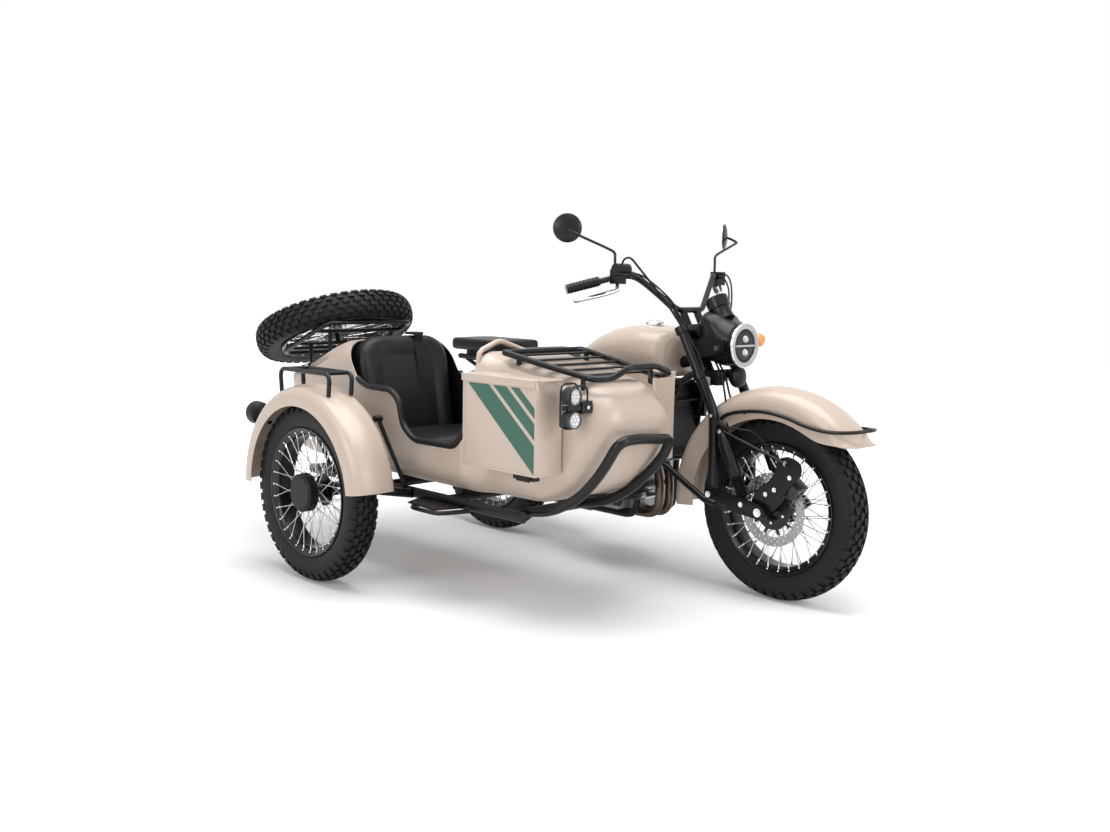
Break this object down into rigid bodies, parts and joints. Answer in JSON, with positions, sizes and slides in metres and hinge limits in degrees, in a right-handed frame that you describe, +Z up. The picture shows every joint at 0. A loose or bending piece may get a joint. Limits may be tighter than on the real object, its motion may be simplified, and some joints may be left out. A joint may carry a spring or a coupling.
{
  "type": "sidecar motorcycle",
  "caption": "Motorcycle with a sidecar: wire wheels, leading-link fork, open-cockpit tub with boot, side cases, nose rack and spare wheel.",
  "frame": {"origin": "middle of the footprint at ground level", "axes": "+X forward, +Y to the left, +Z up; the sidecar is on the right (-Y)"},
  "size_m": [2.4831, 1.6861, 1.348],
  "materials": {
    "sand_paint": "satin",
    "black_paint": "satin",
    "wheel_black": "satin rims with bright spokes",
    "tyre_rubber": "block tread",
    "black_leather": "grained",
    "engine_alloy": "cast",
    "header_steel": "heat-tinted copper brown",
    "chrome": "polished",
    "lamp_glass": "clear lens",
    "red_lens": "lens in a black shell",
    "black_plastic": "matt",
    "hose_rubber": "plain",
    "dark_alloy": "hard-anodised"
  },
  "bodies": {
    "chassis": {"aux_lamps": "black_paint", "bike_frame": "black_paint", "bumper_loop": "black_paint", "case_left": "sand_paint", "case_right": "sand_paint", "cockpit_trim": "black_leather", "engine": "engine_alloy", "exhaust": "header_steel", "fender_rail": "black_paint", "filler_cap": "chrome", "footboard": "black_paint", "fuel_tank": "sand_paint", "grab_handle": "sand_paint", "nose_rack": "black_paint", "pillion_seat": "black_leather", "radiator": "black_plastic", "rear_fender": "sand_paint", "rear_suspension": "black_paint", "rider_seat": "black_leather", "side_covers": "sand_paint", "sidecar_fender": "sand_paint", "sidecar_frame": "black_paint", "sidecar_lamp": "red_lens", "sidecar_nose": "sand_paint", "sidecar_seat": "black_leather", "sidecar_tub": "sand_paint", "tail_lamp": "red_lens"},
    "steering": {"fork": "black_paint", "leading_arm": "black_paint", "brake_caliper": "dark_alloy", "torque_rod": "black_paint", "front_shocks": "black_paint", "front_fender": "sand_paint", "fender_bar": "black_paint", "headlamp": "black_paint", "headlamp_lens": "lamp_glass", "handlebar": "black_paint", "mirrors": "black_plastic", "brake_hose": "hose_rubber"},
    "front_wheel_set": {"front_tyre": "tyre_rubber", "front_wheel": "wheel_black"},
    "rear_wheel_set": {"rear_tyre": "tyre_rubber", "rear_wheel": "wheel_black"},
    "sidecar_wheel_set": {"sidecar_tyre": "tyre_rubber", "sidecar_wheel": "wheel_black"},
    "boot_lid_set": {"boot_lid": "sand_paint", "spare_rack": "black_paint", "spare_tyre": "tyre_rubber", "spare_wheel": "wheel_black"},
    "lid_right": {"case_lid_right": "sand_paint"},
    "lid_left": {"case_lid_left": "sand_paint"}
  },
  "joints": [
    {"name": "steering", "type": "hinge", "parent": "chassis", "child": "steering", "pos_m": [0.555, 0.345, 0.764], "axis": [-0.4817, 0, 0.8763], "range_deg": [-30, 30]},
    {"name": "front_wheel_spin", "type": "hinge", "parent": "steering", "child": "front_wheel_set", "pos_m": [0.901, 0.345, 0.328], "axis": [0, 1, 0], "continuous": true},
    {"name": "rear_wheel_spin", "type": "hinge", "parent": "chassis", "child": "rear_wheel_set", "pos_m": [-0.614, 0.345, 0.328], "axis": [0, 1, 0], "continuous": true},
    {"name": "sidecar_wheel_spin", "type": "hinge", "parent": "chassis", "child": "sidecar_wheel_set", "pos_m": [-0.364, -0.756, 0.328], "axis": [0, 1, 0], "continuous": true},
    {"name": "case_lid_right", "type": "hinge", "parent": "chassis", "child": "lid_right", "pos_m": [0.647, -0.55765, 0.8], "axis": [0, 1, 0], "range_deg": [0, 100]},
    {"name": "case_lid_left", "type": "hinge", "parent": "chassis", "child": "lid_left", "pos_m": [0.647, -0.01235, 0.8], "axis": [0, 1, 0], "range_deg": [0, 100]},
    {"name": "boot_lid", "type": "hinge", "parent": "chassis", "child": "boot_lid_set", "pos_m": [-0.639, -0.285, 0.832], "axis": [0, 1, 0], "range_deg": [0, 45]}
  ]
}
